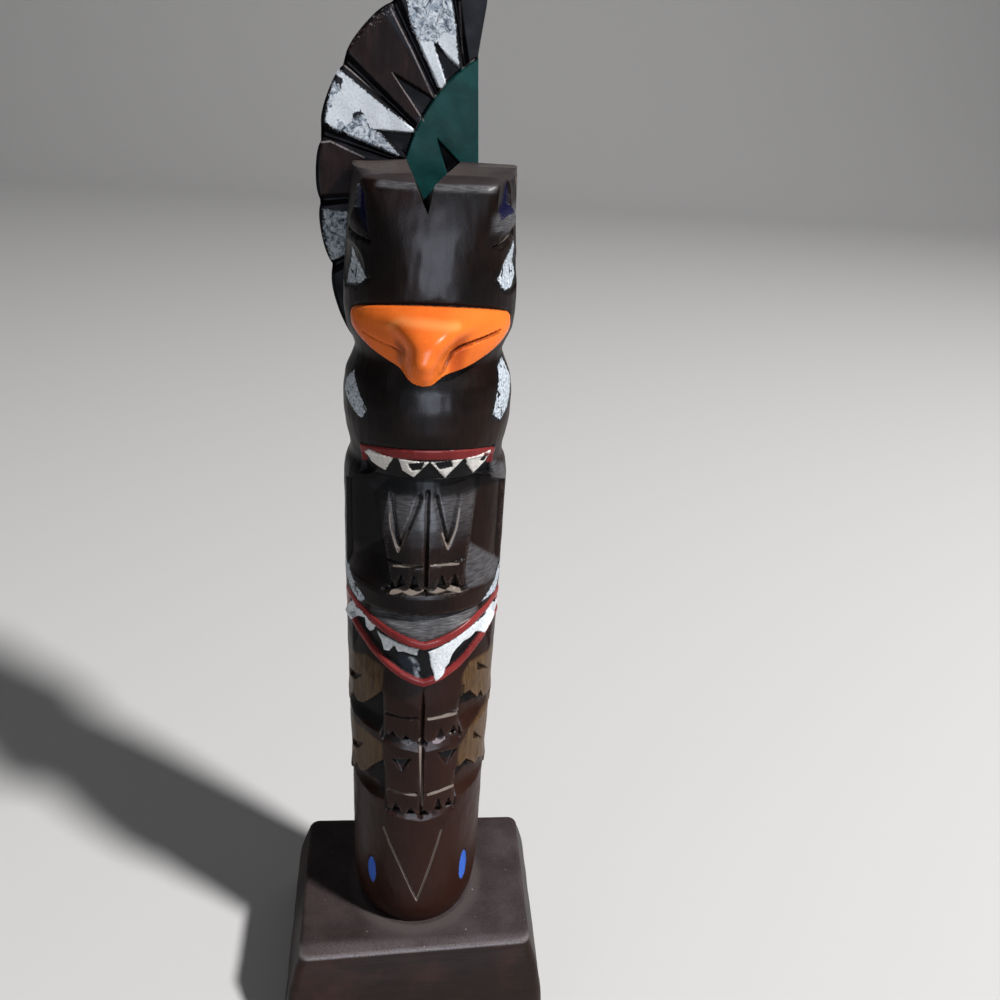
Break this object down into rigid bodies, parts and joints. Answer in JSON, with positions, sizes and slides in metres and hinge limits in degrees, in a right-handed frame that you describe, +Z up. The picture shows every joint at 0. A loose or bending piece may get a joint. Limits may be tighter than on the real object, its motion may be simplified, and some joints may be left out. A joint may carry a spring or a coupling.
{
  "type": "totem pole",
  "caption": "Small carved and painted wooden totem pole of stacked heads and paws on a block, with one fan-shaped wing board behind the top head.",
  "frame": {"origin": "middle of the block's underside, under the pole's axis", "axes": "+Z up the pole, -Y towards the viewer of the carved faces, +X to that viewer's right"},
  "size_m": [0.092, 0.0708, 0.3233],
  "materials": {
    "base_block": "dark brown stained wood, satin, dusty on top",
    "totem_pole": "dark brown varnished wood with chipped orange, red, white and blue paint",
    "wing_board": "dark wood with worn white and dark green paint"
  },
  "bodies": {
    "root": {"base_block": "base_block", "totem_pole": "totem_pole", "wing_board": "wing_board"}
  },
  "joints": []
}
